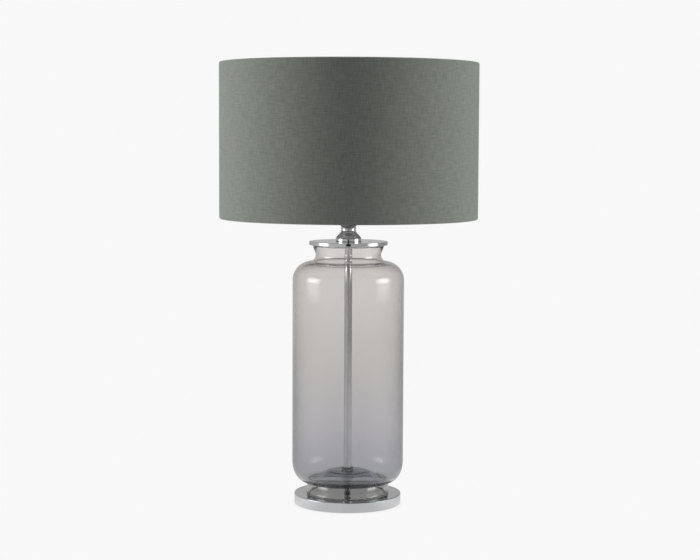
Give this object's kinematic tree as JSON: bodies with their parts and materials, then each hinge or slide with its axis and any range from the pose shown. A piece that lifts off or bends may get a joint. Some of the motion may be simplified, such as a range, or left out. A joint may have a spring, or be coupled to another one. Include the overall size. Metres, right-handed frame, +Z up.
{
  "type": "table lamp with shade",
  "caption": "Table lamp: clear glass cylinder body on a chrome disc, chrome stem, cap and bell, and a straight drum shade in woven cloth.",
  "frame": {"origin": "centre of the underside, on the surface that the lamp stands on", "axes": "+Z up along the stem; -Y is the front, and the flex inlet is at the back on +Y"},
  "size_m": [0.4, 0.4, 0.686],
  "materials": {
    "chrome": "polished chrome plate, mirror bright",
    "glass": "clear blown glass with a faint smoke tint",
    "clear_seal": "clear soft silicone",
    "felt": "black pressed felt",
    "cast_iron": "as cast, painted black",
    "black_rubber": "matt black rubber",
    "zinc_steel": "bright zinc plate",
    "black_moulding": "glossy black moulded thermoset",
    "white_moulding": "white moulded plastic",
    "steatite": "cream steatite ceramic",
    "brass": "plain stamped brass",
    "nickel": "nickel-plated drawn cap",
    "white_wire": "white powder coat",
    "shade_lining": "white styrene laminate",
    "shade_cloth": "grey-green woven linen-look cloth",
    "opal": "opal diffuser"
  },
  "bodies": {
    "root": {"base_felt": "felt", "base_shell": "chrome", "base_weight": "cast_iron", "cable_gland": "black_rubber", "base_washer": "zinc_steel", "base_nut": "zinc_steel", "threaded_rod": "zinc_steel", "foot_gasket": "clear_seal", "glass_body": "glass", "floor_nut": "chrome", "floor_washer": "clear_seal", "floor_seal": "clear_seal", "floor_collar": "black_moulding", "centre_tube": "chrome", "lip_gasket": "clear_seal", "cap_disc": "chrome", "neck_bell": "chrome", "bell_ring": "chrome", "holder_cup": "chrome", "holder_lock_nut": "zinc_steel", "holder_base": "black_moulding", "holder_sleeve": "black_moulding", "contact_insulator": "steatite", "thread_shell": "brass", "centre_contact": "brass", "terminal_screws": "brass", "switch_block": "black_moulding"},
    "switch": {"switch_bar": "black_moulding"},
    "ring": {"shade_ring": "black_moulding"},
    "shade": {"fitter_ring": "white_wire", "fitter_arms": "white_wire", "bottom_hoop": "white_wire", "top_hoop": "white_wire", "shade_lining": "shade_lining", "shade_fabric": "shade_cloth"},
    "bulb": {"bulb_contact": "brass", "bulb_insulator": "black_moulding", "bulb_screw_cap": "nickel", "bulb_housing": "white_moulding", "bulb_led_board": "white_moulding", "bulb_globe": "opal"}
  },
  "joints": [
    {"name": "shade_turn", "type": "hinge", "parent": "root", "child": "shade", "pos_m": [0, 0, 0.478], "axis": [0, 0, 1], "continuous": true},
    {"name": "ring_turn", "type": "hinge", "parent": "root", "child": "ring", "pos_m": [0, 0, 0.483], "axis": [0, 0, 1], "continuous": true},
    {"name": "bulb_turn", "type": "hinge", "parent": "root", "child": "bulb", "pos_m": [0, 0, 0.49], "axis": [0, 0, 1], "continuous": true},
    {"name": "switch_push", "type": "slide", "parent": "root", "child": "switch", "axis": [1, 0, 0], "range_m": [0, 0.005]}
  ]
}
